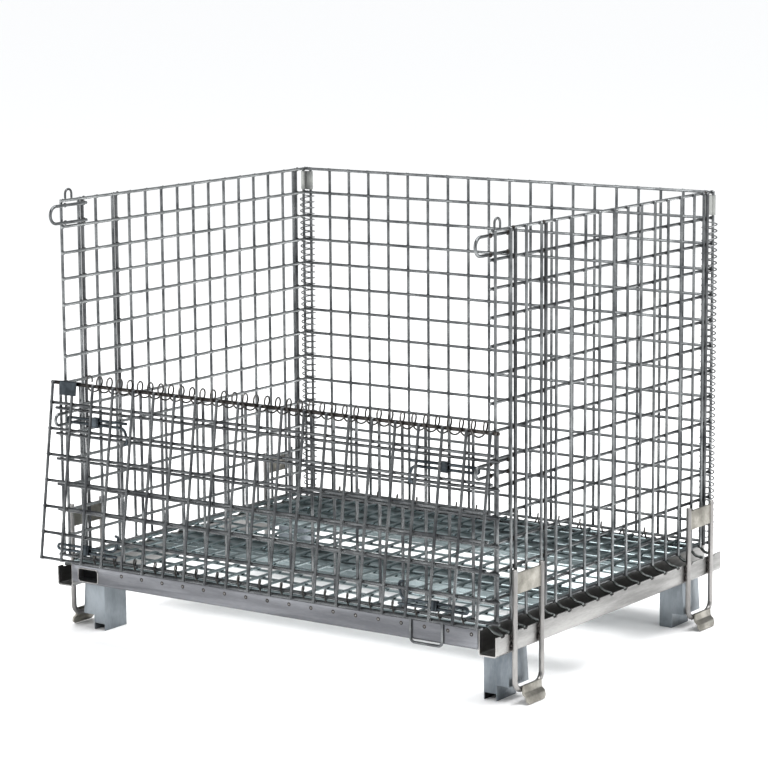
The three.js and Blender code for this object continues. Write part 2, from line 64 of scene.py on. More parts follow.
bpy.context.scene.camera = camera

# ---- side rails -------------------------------------------------------------------------------
# The two side rails are channels folded from 2.5 mm zinc plated sheet, open at the top and at both
# ends. The inner wall carries the deck. The outer wall is lower, with a notch for each wire end.
MM = 0.001
SHEET = 2.5 * MM
BEND = 4 * MM                              # middle radius of the channels' folds
PITCH = 50 * MM                            # of every mesh
front_low, front_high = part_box("rail_front")
front_edge = front_low.y + 22 * MM         # front edge of the side walls
deck_level = front_high.z                  # the deck lies on this height
side_rail_low, side_rail_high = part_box("rail_right")
OUTER_TOP = 134 * MM
DECK_ROWS = [0.5 * MM] + [25 * MM + PITCH * i for i in range(15)] + [762 * MM]
NOTCH_FLOOR, NOTCH_HALF, NOTCH_SLOPE = 130 * MM, 4.5 * MM, 3.5 * MM
RELIEF_DEPTH = 0.4 * MM                    # of the grain in every finish


def skin(bm, rings, material_index=0):
    """Joins rings of equal length into one closed skin with flat ends."""
    rows = [[bm.verts.new(point) for point in ring] for ring in rings]
    faces = [bm.faces.new(rows[0][::-1]), bm.faces.new(rows[-1])]
    for low, high in zip(rows, rows[1:]):
        for i in range(len(low)):
            j = (i + 1) % len(low)
            faces.append(bm.faces.new((low[i], low[j], high[j], high[i])))
    for face in faces:
        face.material_index = material_index


def fold(path, thickness, bend, steps=5):
    """Outline of sheet folded along a flat path, with round bends of that middle radius."""
    path = [Vector(p) for p in path]
    line = [path[0]]
    for before, corner, after in zip(path, path[1:], path[2:]):
        into, out = (corner - before).normalized(), (after - corner).normalized()
        turn = math.atan2(into.x * out.y - into.y * out.x, into.dot(out))
        start = corner - into * bend * math.tan(abs(turn) / 2)
        centre = start + Vector((-into.y, into.x)) * math.copysign(bend, turn)
        for i in range(steps + 1):
            line.append(centre + Matrix.Rotation(turn * i / steps, 2) @ (start - centre))
    line.append(path[-1])
    left, rights = [], []
    for i, point in enumerate(line):
        before, after = line[max(i - 1, 0)], line[min(i + 1, len(line) - 1)]
        along = (after - before).normalized()
        normal = Vector((-along.y, along.x)) * thickness / 2
        left.append(point + normal)
        rights.append(point - normal)
    return left + rights[::-1]


def finish_mesh(name, bm, materials, smooth_angle=35):
    """Turns a bmesh into an object with outward faces, smooth below that angle."""
    bmesh.ops.recalc_face_normals(bm, faces=bm.faces)
    mesh = bpy.data.meshes.new(name)
    bm.to_mesh(mesh)
    bm.free()
    mesh.shade_smooth()
    mesh.set_sharp_from_angle(angle=math.radians(smooth_angle))
    for material in materials:
        mesh.materials.append(material)
    piece = bpy.data.objects.new(name, mesh)
    bpy.context.scene.collection.objects.link(piece)
    return piece


def plating_group():
    """Zinc plating: cloudy bright and dull patches, fine grain, and drawn-out streaks."""
    group = bpy.data.node_groups.new("zinc_plating", "ShaderNodeTree")
    for name, kind, value in [
            ("Bright", "NodeSocketColor", (0.4, 0.4, 0.4, 1)),
            ("Dull", "NodeSocketColor", (0.2, 0.2, 0.2, 1)),
            ("Cloud Scale", "NodeSocketFloat", 12),
            ("Grain Scale", "NodeSocketFloat", 400),
            ("Streak", "NodeSocketVector", (1, 1, 1)),
            ("Shiny", "NodeSocketFloat", 0.3),
            ("Matt", "NodeSocketFloat", 0.5)]:
        socket = group.interface.new_socket(name, in_out="INPUT", socket_type=kind)
        socket.default_value = value
    for name, kind in [("Color", "NodeSocketColor"), ("Roughness", "NodeSocketFloat"),
                       ("Height", "NodeSocketFloat")]:
        group.interface.new_socket(name, in_out="OUTPUT", socket_type=kind)
    nodes, links = group.nodes, group.links
    given, put = nodes.new("NodeGroupInput"), nodes.new("NodeGroupOutput")
    place = nodes.new("ShaderNodeTexCoord")
    stretch = nodes.new("ShaderNodeVectorMath")
    stretch.operation = "MULTIPLY"
    links.new(place.outputs["Object"], stretch.inputs[0])
    links.new(given.outputs["Streak"], stretch.inputs[1])
    cloud, grain = nodes.new("ShaderNodeTexNoise"), nodes.new("ShaderNodeTexNoise")
    cloud.inputs["Detail"].default_value = 4
    cloud.inputs["Roughness"].default_value = 0.6
    grain.inputs["Detail"].default_value = 2
    links.new(stretch.outputs[0], cloud.inputs["Vector"])
    links.new(stretch.outputs[0], grain.inputs["Vector"])
    links.new(given.outputs["Cloud Scale"], cloud.inputs["Scale"])
    links.new(given.outputs["Grain Scale"], grain.inputs["Scale"])
    patch = nodes.new("ShaderNodeMapRange")
    patch.inputs["From Min"].default_value = 0.36
    patch.inputs["From Max"].default_value = 0.64
    links.new(cloud.outputs["Fac"], patch.inputs["Value"])
    speck = nodes.new("ShaderNodeMath")
    speck.operation = "MULTIPLY_ADD"
    speck.inputs[1].default_value = 0.5
    links.new(grain.outputs["Fac"], speck.inputs[0])
    links.new(patch.outputs[0], speck.inputs[2])
    level = nodes.new("ShaderNodeMath")
    level.operation = "SUBTRACT"
    level.use_clamp = True
    level.inputs[1].default_value = 0.25
    links.new(speck.outputs[0], level.inputs[0])
    mix = nodes.new("ShaderNodeMix")
    mix.data_type = "RGBA"
    links.new(level.outputs[0], mix.inputs["Factor"])
    links.new(given.outputs["Bright"], mix.inputs["A"])
    links.new(given.outputs["Dull"], mix.inputs["B"])
    rough = nodes.new("ShaderNodeMapRange")
    links.new(level.outputs[0], rough.inputs["Value"])
    links.new(given.outputs["Shiny"], rough.inputs["To Min"])
    links.new(given.outputs["Matt"], rough.inputs["To Max"])
    links.new(mix.outputs["Result"], put.inputs["Color"])
    links.new(rough.outputs[0], put.inputs["Roughness"])
    links.new(grain.outputs["Fac"], put.inputs["Height"])
    return group


zinc_plating = plating_group()


def plated(name, bright, dull, cloud=12, grain=400, streak=(1, 1, 1), shiny=0.3, matt=0.5,
           bump=0.15):
    """A plated steel finish between a bright and a dull colour."""
    material = bpy.data.materials.new(name)
    material.use_nodes = True
    nodes, links = material.node_tree.nodes, material.node_tree.links
    shader = nodes["Principled BSDF"]
    shader.inputs["Metallic"].default_value = 1
    plating = nodes.new("ShaderNodeGroup")
    plating.node_tree = zinc_plating
    for socket, value in [("Bright", (*bright, 1)), ("Dull", (*dull, 1)),
                          ("Cloud Scale", cloud), ("Grain Scale", grain),
                          ("Streak", streak), ("Shiny", shiny), ("Matt", matt)]:
        plating.inputs[socket].default_value = value
    relief = nodes.new("ShaderNodeBump")
    relief.inputs["Strength"].default_value = bump
    relief.inputs["Distance"].default_value = RELIEF_DEPTH
    links.new(plating.outputs["Color"], shader.inputs["Base Color"])
    links.new(plating.outputs["Roughness"], shader.inputs["Roughness"])
    links.new(plating.outputs["Height"], relief.inputs["Height"])
    links.new(relief.outputs["Normal"], shader.inputs["Normal"])
    return material


rail_zinc = plated("rail_zinc", (0.38, 0.375, 0.365), (0.20, 0.198, 0.193), cloud=9, grain=260,
                   streak=(1, 0.35, 3), shiny=0.28, matt=0.46)
wall_out, wall_in = side_rail_high.x - SHEET / 2, side_rail_low.x + SHEET / 2
rail_floor = side_rail_low.z + SHEET / 2


def rail_section(top):
    """The side rail's folded section, with its outer wall cut at the height top."""
    return fold([(wall_out, top), (wall_out, rail_floor), (wall_in, rail_floor),
                 (wall_in, deck_level)], SHEET, BEND)


rail_cuts = [(side_rail_low.y, OUTER_TOP)]
for row in DECK_ROWS:
    for offset, top in ((-NOTCH_HALF - NOTCH_SLOPE, OUTER_TOP), (-NOTCH_HALF, NOTCH_FLOOR),
                        (NOTCH_HALF, NOTCH_FLOOR), (NOTCH_HALF + NOTCH_SLOPE, OUTER_TOP)):
        rail_cuts.append((front_edge + row + offset, top))
rail_cuts.append((side_rail_high.y, OUTER_TOP))
for side, name in ((-1, "rail_left"), (1, "rail_right")):
    bm = bmesh.new()
    skin(bm, [[(side * p.x, y, p.y) for p in rail_section(top)] for y, top in rail_cuts])
    rail = finish_mesh(name + "_channel", bm, [rail_zinc])
    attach(rail, "base")
    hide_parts(name)

# ---- front and rear rails -----------------------------------------------------------------------
# The end rails are the same channel, set between the side rails. The front one has a window near
# its left end, and both carry a row of spot welds under their upper edge.
# The end rails get a darker copy of the side rails' plating, as painted shade.
shaded_end_rail_zinc = plated("shaded_end_rail_zinc", (0.225, 0.23, 0.245), (0.125, 0.128, 0.138), cloud=9,
                       grain=260, streak=(0.35, 1, 3), shiny=0.28, matt=0.46)
CROSS_HALF = front_high.x
REAR_DROP = 12 * MM                        # the rear rail's inner wall is this much lower
EDGE_ROUND = 0.5 * MM
WINDOW_X, WINDOW_Z = (-452 * MM, -404 * MM), (112 * MM, 137 * MM)
WINDOW_CORNER, WINDOW_CLEAR = 5 * MM, 10 * MM
SPOTS = 19                                 # spot welds on each rail, one to a cell of the mesh
SPOT_ASIDE, SPOT_DROP = 6 * MM, 9 * MM     # from the cell's middle and from the rail's top
SPOT_RING, SPOT_NUGGET = (3.8 * MM, 0.25 * MM), (1.5 * MM, 0.8 * MM)   # (radius, height)


def evaluated(piece):
    """Applies the piece's modifiers to its mesh."""
    depsgraph = bpy.context.evaluated_depsgraph_get()
    mesh = bpy.data.meshes.new_from_object(piece.evaluated_get(depsgraph))
    piece.modifiers.clear()
    piece.data = mesh


def arc(u, v, radius, start, sweep, steps):
    """Points (u, v) of an arc about a centre, from the angle start over sweep, in degrees."""
    angles = [math.radians(start + sweep * k / steps) for k in range(steps + 1)]
    return [(u + radius * math.cos(a), v + radius * math.sin(a)) for a in angles]


def window_outline(radius, steps):
    """The window's outline as (x, z), with that radius about the centres of its corners."""
    left, right_end = WINDOW_X[0] + WINDOW_CORNER, WINDOW_X[1] - WINDOW_CORNER
    low, high = WINDOW_Z[0] + WINDOW_CORNER, WINDOW_Z[1] - WINDOW_CORNER
    return [point for x, z, start in ((right_end, high, 0), (left, high, 90), (left, low, 180),
                                      (right_end, low, 270))
            for point in arc(x, z, radius, start, 90, steps)]


def bead(bm, centre, axis, radius, height, sides=8, material_index=0):
    """A low round weld nugget standing on its centre along the axis."""
    axis = Vector(axis).normalized()
    normal = axis.orthogonal().normalized()
    across = axis.cross(normal)
    rings = []
    for share, rise in ((1, -0.3), (1, 0.25), (0.72, 0.75), (0.25, 1)):
        rings.append([Vector(centre) + axis * height * rise + radius * share * (
            math.cos(2 * math.pi * k / sides) * normal +
            math.sin(2 * math.pi * k / sides) * across) for k in range(sides)])
    skin(bm, rings, material_index)


weld_burn = plated("weld_burn", (0.09, 0.08, 0.075), (0.03, 0.028, 0.026), cloud=160, grain=900,
                   shiny=0.45, matt=0.7, bump=0.4)
for name, face, inner_face, inner_top in (
        ("rail_front", front_low.y, front_high.y, deck_level),
        ("rail_rear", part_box("rail_rear")[1].y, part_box("rail_rear")[0].y,
         deck_level - REAR_DROP)):
    toward = 1 if inner_face > face else -1
    wall, far_wall = face + toward * SHEET / 2, inner_face - toward * SHEET / 2
    ground = front_low.z + SHEET / 2
    outline = fold([(wall, deck_level), (wall, ground), (far_wall, ground),
                    (far_wall, inner_top)], SHEET, BEND)
    bm = bmesh.new()
    skin(bm, [[(x, p.x, p.y) for p in outline] for x in (-CROSS_HALF, CROSS_HALF)])
    rail = finish_mesh(name + "_channel", bm, [shaded_end_rail_zinc])
    if name == "rail_front":
        bm = bmesh.new()
        skin(bm, [[(x, y, z) for x, z in window_outline(WINDOW_CORNER, 4)]
                  for y in (face - SHEET, face + 2 * SHEET)])
        punch = finish_mesh("punch", bm, [])
        cut = rail.modifiers.new("window", "BOOLEAN")
        cut.object = punch
        cut.solver = "EXACT"
        evaluated(rail)
        bpy.data.objects.remove(punch)
    edges = rail.modifiers.new("edges", "BEVEL")
    edges.width = EDGE_ROUND
    edges.segments = 2
    edges.limit_method = "ANGLE"
    evaluated(rail)
    rail.data.set_sharp_from_angle(angle=math.radians(40))
    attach(rail, "base")
    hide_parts(name)
    bm = bmesh.new()
    for i in range(SPOTS):
        x = (i - (SPOTS - 1) / 2) * PITCH
        if name == "rail_front" and WINDOW_X[0] - WINDOW_CLEAR < x < WINDOW_X[1] + WINDOW_CLEAR:
            continue
        spot = (x + SPOT_ASIDE, face, deck_level - SPOT_DROP)
        bead(bm, spot, (0, -toward, 0), *SPOT_RING, 12)
        bead(bm, spot, (0, -toward, 0), *SPOT_NUGGET, 8, 1)
    dots = finish_mesh(name + "_spot_welds", bm, [weld_burn, rail_zinc])
    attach(dots, "base")

# ---- deck channels ------------------------------------------------------------------------------
# Three shallow channels of the same sheet, open below, carry the deck. They run across from side
# rail to side rail.
deck_zinc = plated("deck_zinc", (0.33, 0.39, 0.4), (0.15, 0.182, 0.188), cloud=14, grain=300,
                   streak=(0.4, 1, 1), shiny=0.25, matt=0.42)
for name in ("deck_channel_front", "deck_channel_middle", "deck_channel_rear"):
    low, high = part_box(name)
    outline = fold([(low.y + SHEET / 2, low.z), (low.y + SHEET / 2, high.z - SHEET / 2),
                    (high.y - SHEET / 2, high.z - SHEET / 2), (high.y - SHEET / 2, low.z)],
                   SHEET, BEND)
    bm = bmesh.new()
    skin(bm, [[(x, p.x, p.y) for p in outline] for x in (low.x, high.x)])
    channel = finish_mesh(name + "_sheet", bm, [deck_zinc])
    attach(channel, "base")
    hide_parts(name)

# ---- deck mesh ----------------------------------------------------------------------------------
# Deck wires are spot welded where they cross. The long ones rest on the side rails' inner walls
# and dip into the notches of the outer ones, and the short ones lie on top from front to rear.
WIRE = 2.9 * MM                            # wire radius
LAYER = 6.1 * MM                           # between the two layers of every mesh
SUNK = 0.5 * MM                            # how far crossing wires press into each other
NUGGET, NUGGET_TALL, NUGGET_SUNK = 3.5 * MM, 3.2 * MM, 1.7 * MM
STUB = 2.5 * MM                            # upright end past the last row
DECK_TIP = 3 * MM                          # straight row end past the last upright
DECK_DIP = [(6 * MM, -2.6 * MM), (11 * MM, -7.6 * MM), (16 * MM, -10 * MM),
            (30.5 * MM, -12 * MM)]         # then down into the notch, as (past, depth)


def rod(bm, points, radius, sides=10, material_index=0):
    """A round rod along the points, with slightly broken end edges."""
    points = [Vector(p) for p in points]
    legs = [(b - a).normalized() for a, b in zip(points, points[1:])]
    along = [legs[0]] + [(a + b).normalized() for a, b in zip(legs, legs[1:])] + [legs[-1]]
    normal = legs[0].orthogonal().normalized()
    rings = []
    for i, (point, tangent) in enumerate(zip(points, along)):
        if i:
            normal = along[i - 1].rotation_difference(tangent) @ normal
        side_way = tangent.cross(normal)
        circle = [radius * (math.cos(2 * math.pi * k / sides) * normal +
                            math.sin(2 * math.pi * k / sides) * side_way) for k in range(sides)]
        rings.append([point + c for c in circle])
        if i in (0, len(points) - 1):
            rim = [point + 0.75 * c for c in circle]
            back = tangent * radius * 0.25 * (1 if i == 0 else -1)
            rings[-1] = [point + c + back for c in circle]
            rings.insert(len(rings) - (1 if i == 0 else 0), rim)
    skin(bm, rings, material_index)


def weld_mesh(bm, uprights, rows, place, tips, stubs=STUB, other_rows=(), dip=(), heavy=WIRE):
    """Uprights and rows of wire in two layers, a weld nugget at each crossing.
    place puts (across, height, depth) in space, and dip has the bends of a row's ends, as (past
    the last upright, depth). other_rows have the third material and the radius heavy."""
    shift = LAYER - SUNK
    for x in uprights:
        rod(bm, [place(x, rows[0] - stubs, shift), place(x, rows[-1] + stubs, shift)], WIRE)
    ends = [(tips, 0), *dip]
    for i, z in enumerate(rows):
        rod(bm, [place(uprights[0] - past, z, depth) for past, depth in reversed(ends)] +
            [place(uprights[-1] + past, z, depth) for past, depth in ends],
            heavy if i in other_rows else WIRE, material_index=2 if i in other_rows else 0)
    out = (place(0, 0, 1) - place(0, 0, 0)).normalized()
    for x in uprights:
        for z in rows:
            bead(bm, place(x, z, shift / 2) - out * NUGGET_SUNK, out, NUGGET, NUGGET_TALL, 8, 1)


deck_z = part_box("deck_mesh")[1].z - WIRE - LAYER
cage_columns = [(i - 9.5) * PITCH for i in range(20)]
deck_weld = plated("deck_weld", (0.11, 0.13, 0.14), (0.04, 0.05, 0.05), cloud=120, grain=800,
                   shiny=0.4, matt=0.65)
bm = bmesh.new()
weld_mesh(bm, cage_columns, [front_edge + y for y in DECK_ROWS],
          lambda x, y, depth: Vector((x, y, deck_z + depth)), DECK_TIP, dip=DECK_DIP)
# Darker plating for the row ends that dip into the side rails' notches: painted shade.
deck_end_shade = plated("deck_end_shade", (0.2, 0.215, 0.21), (0.09, 0.097, 0.094), cloud=30, grain=500,
                  shiny=0.35, matt=0.55)
for face in bm.faces:
    if abs(face.calc_center_median().x) > cage_columns[-1] + DECK_TIP + 1 * MM:
        face.material_index = 2            # the row ends down in the notches are painted darker, as painted shade
deck = finish_mesh("deck_wires", bm, [deck_zinc, deck_weld, deck_end_shade])
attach(deck, "base")
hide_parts("deck_mesh")

# ---- feet ---------------------------------------------------------------------------------------
# Each foot is a folded sheet box, open below, its inner walls painted near black as painted shade.
# The outer part stops short, to stand on the rim of the container underneath.
FOOT_ROUND = 0.9 * MM
foot_zinc = plated("foot_zinc", (0.24, 0.265, 0.285), (0.13, 0.15, 0.168), cloud=16, grain=300,
                   streak=(1, 1, 0.35), shiny=0.3, matt=0.48)


def softened(name, node, materials, body, round_over):
    """The CAD solid with its folds and edges rounded over."""
    bm = bmesh.new()
    bm.from_mesh(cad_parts[node].data)
    bmesh.ops.remove_doubles(bm, verts=bm.verts, dist=2e-6)
    bmesh.ops.dissolve_limit(bm, angle_limit=math.radians(1), verts=bm.verts, edges=bm.edges)
    creases = [e for e in bm.edges if len(e.link_faces) == 2
               and e.calc_face_angle() > math.radians(20)]
    bmesh.ops.bevel(bm, geom=creases, offset=round_over, segments=3, profile=0.5,
                    affect="EDGES", clamp_overlap=True)
    piece = finish_mesh(name, bm, materials, 40)
    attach(piece, body)
    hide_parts(node)
    return piece


# Near-black plating for the feet's inner walls: painted shade inside the open boxes.
foot_painted_shade = plated("foot_painted_shade", (0.05, 0.052, 0.055), (0.02, 0.021, 0.023), cloud=30,
                     grain=300, shiny=0.5, matt=0.75)
corners = [f"{end}_{side}" for end in ("front", "rear") for side in ("left", "right")]
for corner in corners:
    foot = softened(f"foot_box_{corner}", f"foot_{corner}", [foot_zinc, foot_painted_shade], "base",
                    FOOT_ROUND)
    foot_low, foot_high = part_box(f"foot_{corner}")
    axis = (foot_low + foot_high) / 2
    # Upright faces that look into the box get the painted shade.
    for face in foot.data.polygons:
        inward = (axis - face.center) * face.normal
        if abs(face.normal.z) < 0.5 and inward.x + inward.y > 0:
            face.material_index = 1

# ---- guide loops --------------------------------------------------------------------------------
# A U of 10 mm bar is welded outside the side rail near each corner. A flat plate ties its legs
# above the deck, and a curved hook plate at its foot guides the container onto the one below.
loop_steel = plated("loop_steel", (0.33, 0.32, 0.31), (0.18, 0.175, 0.172), cloud=20, grain=350,
                    streak=(1, 1, 0.25), shiny=0.3, matt=0.45)
hook_steel = plated("hook_steel", (0.37, 0.355, 0.315), (0.205, 0.195, 0.17), cloud=25, grain=300,
                    shiny=0.32, matt=0.5)
LOOP_R, LOOP_BEND, LOOP_FOOT = 5 * MM, 20 * MM, 27 * MM
LOOP_WELD, LOOP_WELD_TALL = 3.4 * MM, 2.6 * MM
WELD_OUT, WELD_ASIDE, WELD_STEP = 1.5 * MM, 4.2 * MM, 6 * MM
HOOK_LINE = [(5.4, 35), (6, 24), (7.5, 18.5), (12.5, 14), (14, 8.5), (16, 1)]   # mm, (out, z)
HOOK_THICK, HOOK_TAPER, TAPER_FROM = 3.5 * MM, 7 * MM, 0.86
PLATE_ROUND = 0.6 * MM


def u_path(start, end, top, bottom, bend, steps):
    """Points (u, z) of a U: down at start, along the bottom, and up at end."""
    return [(start, top), *arc(start + bend, bottom + bend, bend, 180, 90, steps),
            *arc(end - bend, bottom + bend, bend, 270, 90, steps), (end, top)]


def smooth_path(points, steps):
    """Round curve through the points, with its ends kept."""
    points = [Vector(p) for p in points]
    line = []
    for i in range(len(points) - 1):
        p0, p1 = points[max(i - 1, 0)], points[i]
        p2, p3 = points[i + 1], points[min(i + 2, len(points) - 1)]
        for k in range(steps):
            t = k / steps
            line.append(0.5 * (2 * p1 + (p2 - p0) * t + (2 * p0 - 5 * p1 + 4 * p2 - p3) * t * t
                               + (3 * p1 - p0 - 3 * p2 + p3) * t ** 3))
    return line + [points[-1]]


for corner in corners:
    low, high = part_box(f"guide_loop_{corner}")
    x = (low.x + high.x) / 2
    side = math.copysign(1, x)
    legs = (low.y + LOOP_R, high.y - LOOP_R)
    path = u_path(*legs, high.z, LOOP_FOOT, LOOP_BEND, 8)
    bm = bmesh.new()
    rod(bm, [(x, y, z) for y, z in path], LOOP_R, 16)
    weld_x = side * (side_rail_high.x + WELD_OUT)
    for y in legs:
        for z in (side_rail_low.z + 8 * MM, OUTER_TOP - 12 * MM):
            for rise in (0, WELD_STEP):
                for aside in (-WELD_ASIDE, WELD_ASIDE):
                    bead(bm, (weld_x, y + aside, z + rise), (side, 0, 0), LOOP_WELD,
                         LOOP_WELD_TALL, 8, 1)
    loop = finish_mesh(f"loop_bar_{corner}", bm, [loop_steel, weld_burn])
    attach(loop, "base")
    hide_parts(f"guide_loop_{corner}")
    softened(f"tie_plate_{corner}", f"guide_plate_{corner}", [hook_steel], "base", PLATE_ROUND)
    low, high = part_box(f"guide_hook_{corner}")
    line = smooth_path([Vector(p) * MM for p in HOOK_LINE], 4)
    rings = []
    for i, point in enumerate(line):
        along = (line[min(i + 1, len(line) - 1)] - line[max(i - 1, 0)]).normalized()
        thick = Vector((-along.y, along.x)) * HOOK_THICK
        share = i / (len(line) - 1)
        narrow = HOOK_TAPER * max(0, share - TAPER_FROM) / (1 - TAPER_FROM)
        rings.append([(x + side * q.x, y, q.y) for q, y in (
            (point, low.y + narrow), (point + thick, low.y + narrow),
            (point + thick, high.y - narrow), (point, high.y - narrow))])
    bm = bmesh.new()
    skin(bm, rings)
    hook = finish_mesh(f"hook_plate_{corner}", bm, [hook_steel], 50)
    edges = hook.modifiers.new("edges", "BEVEL")
    edges.width = PLATE_ROUND
    edges.segments = 2
    edges.angle_limit = math.radians(50)
    evaluated(hook)
    hook.data.set_sharp_from_angle(angle=math.radians(50))
    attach(hook, "base")
    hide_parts(f"guide_hook_{corner}")

# ---- front rail fittings ------------------------------------------------------------------------
# A wire loop is welded on the face of the front rail, right of the middle. The window near the
# left end has a bright rolled rim.
wire_zinc = plated("wire_zinc", (0.23, 0.24, 0.243), (0.085, 0.09, 0.094), cloud=22, grain=500,
                   shiny=0.26, matt=0.42)
PULL_WIRE, PULL_BEND = 2.6 * MM, 9 * MM
RIM = 1.1 * MM
low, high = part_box("pull_loop")
y = (low.y + high.y) / 2
path = u_path(low.x + PULL_WIRE, high.x - PULL_WIRE, high.z, low.z + PULL_WIRE, PULL_BEND, 6)
bm = bmesh.new()
rod(bm, [(x, y, z) for x, z in path], PULL_WIRE, 12)
pull = finish_mesh("pull_loop_wire", bm, [wire_zinc])
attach(pull, "base")
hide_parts("pull_loop")

path = [(x, front_low.y, z) for x, z in window_outline(WINDOW_CORNER + RIM / 2, 6)]
bm = bmesh.new()
rod(bm, path + path[:2], RIM, 8)
rim = finish_mesh("window_rim", bm, [rail_zinc])
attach(rim, "base")

# ---- back and side walls ------------------------------------------------------------------------
# Welded mesh walls of 5.8 mm zinc plated wire at 50 mm centres. The uprights of all three are on
# the outside of the crosswires.
weld_zinc = plated("weld_zinc", (0.13, 0.135, 0.14), (0.05, 0.05, 0.052), cloud=140, grain=900,
                   shiny=0.38, matt=0.6)
BOTTOM_ROW, SIDE_BOTTOM_ROW, FIRST_ROW = 156 * MM, 153 * MM, 195 * MM
TIP = 8 * MM                               # row end past the last upright
SIDE_STUB = 2 * MM
back_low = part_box("back_panel")[0]
wall_rows = [BOTTOM_ROW] + [FIRST_ROW + PITCH * i for i in range(14)]
bm = bmesh.new()
weld_mesh(bm, cage_columns, wall_rows,
          lambda x, z, depth: Vector((x, back_low.y + WIRE + depth, z)), TIP)
back = finish_mesh("back_wall", bm, [wire_zinc, weld_zinc])
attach(back, "base")
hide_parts("back_panel")

# A paler copy of the wire plating: painted highlight where the overhead light catches the
# crosswires, on every row of the left wall and on the top row of the right wall.
painted_highlight_wire = plated("painted_highlight_wire", (0.42, 0.435, 0.435), (0.2, 0.21, 0.212), cloud=22, grain=500,
                   shiny=0.24, matt=0.4)
side_columns = [front_edge + PITCH * i for i in range(15)]
side_columns += [front_edge + 737 * MM, front_edge + 774 * MM]
side_rows = [SIDE_BOTTOM_ROW] + wall_rows[1:]
for side, name in ((-1, "left"), (1, "right")):
    low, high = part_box(f"side_panel_{name}")
    wires_x = side * (min(abs(low.x), abs(high.x)) + WIRE)
    bm = bmesh.new()
    # Rows that get the painted highlight.
    highlight_rows = range(len(side_rows)) if side < 0 else [len(side_rows) - 1]
    weld_mesh(bm, side_columns, side_rows,
              lambda y, z, depth: Vector((wires_x + side * depth, y, z)), TIP, SIDE_STUB,
              highlight_rows)
    wall = finish_mesh(f"side_wall_{name}", bm, [wire_zinc, weld_zinc, painted_highlight_wire])
    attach(wall, "base")
    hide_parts(f"side_panel_{name}")

# ---- stiffeners ---------------------------------------------------------------------------------
# Three heavier uprights are welded outside each side wall, with a dark blob of weld on each row.
# They are darker than the wires of the wall.
dark_rod = plated("dark_rod", (0.15, 0.155, 0.158), (0.05, 0.052, 0.055), cloud=18, grain=500,
                  shiny=0.3, matt=0.5)
STIFFENER = 3.4 * MM
BLOB, BLOB_TALL, BLOB_IN = 4.2 * MM, 3 * MM, 4.6 * MM
for name in [f"{side}_{i}" for side in ("left", "right") for i in (1, 2, 3)]:
    low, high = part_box(f"stiffener_{name}")
    x, y = (low.x + high.x) / 2, (low.y + high.y) / 2
    side = math.copysign(1, x)
    bm = bmesh.new()
    rod(bm, [(x, y, low.z), (x, y, high.z)], STIFFENER, 14)
    for z in side_rows:
        bead(bm, (x - side * BLOB_IN, y, z), (side, 0, 0), BLOB, BLOB_TALL, 8, 1)
    bar = finish_mesh(f"stiffener_bar_{name}", bm, [dark_rod, weld_burn])
    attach(bar, "base")
    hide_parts(f"stiffener_{name}")

# ---- keepers and staples ------------------------------------------------------------------------
# Round-nosed rod loops lie inside the side walls and stand out at the front, where the slide
# bolts enter them. A small staple stands on each top wire.
KEEPER = 3 * MM
KEEPER_WELD, KEEPER_WELD_TALL = 4.5 * MM, 3.5 * MM
STAPLE, STAPLE_BEND = 2.2 * MM, 9 * MM
for name in ("upper_left", "upper_right", "lower_left", "lower_right"):
    low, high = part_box(f"keeper_{name}")
    x = (low.x + high.x) / 2
    side = math.copysign(1, x)
    middle, half = (low.z + high.z) / 2, (high.z - low.z) / 2 - KEEPER
    nose = low.y + KEEPER + half
    path = [(high.y, middle + half), *arc(nose, middle, half, 90, 180, 16),
            (high.y, middle - half)]
    bm = bmesh.new()
    rod(bm, [(x, y, z) for y, z in path], KEEPER, 14)
    for z in (middle + half, middle - half):
        for y in (front_edge, high.y - 5 * MM):
            bead(bm, (x + side * 2 * MM, y, z), (side, 0, 0), KEEPER_WELD, KEEPER_WELD_TALL, 8, 1)
    keeper = finish_mesh(f"keeper_rod_{name}", bm, [wire_zinc, weld_burn])
    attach(keeper, "base")
    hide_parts(f"keeper_{name}")

for name in ("left", "right"):
    low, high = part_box(f"top_staple_{name}")
    x, middle = (low.x + high.x) / 2, (low.y + high.y) / 2
    path = [(middle - STAPLE_BEND, low.z),
            *arc(middle, high.z - STAPLE_BEND - STAPLE, STAPLE_BEND, 180, -180, 12),
            (middle + STAPLE_BEND, low.z)]
    bm = bmesh.new()
    rod(bm, [(x, y, z) for y, z in path], STAPLE, 12)
    staple = finish_mesh(f"staple_wire_{name}", bm, [dark_rod])
    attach(staple, "base")
    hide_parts(f"top_staple_{name}")

# ---- lower front --------------------------------------------------------------------------------
# The lower half of the front is a mesh of its own that turns out about its bottom wire. Its top
# wire is the dark hinge wire under the gate.
front_wire = plated("front_wire", (0.18, 0.187, 0.19), (0.055, 0.058, 0.062), cloud=20, grain=500,
                    shiny=0.2, matt=0.38)
hinge_wire = plated("hinge_wire", (0.06, 0.054, 0.05), (0.022, 0.02, 0.019), cloud=30,
                    grain=500, shiny=0.3, matt=0.5)
HINGE_WIRE = 3.5 * MM
front_columns = [(i - 10) * PITCH for i in range(21)]
lower_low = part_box("lower_front_panel")[0]
lower_rows = wall_rows[:8]
bm = bmesh.new()
weld_mesh(bm, front_columns, lower_rows,
          lambda x, z, depth: Vector((x, lower_low.y + WIRE + depth, z)), TIP,
          other_rows=[len(lower_rows) - 1], heavy=HINGE_WIRE)
lower = finish_mesh("lower_front_wires", bm, [front_wire, weld_zinc, hinge_wire])
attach(lower, "lower_front")
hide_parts("lower_front_panel")

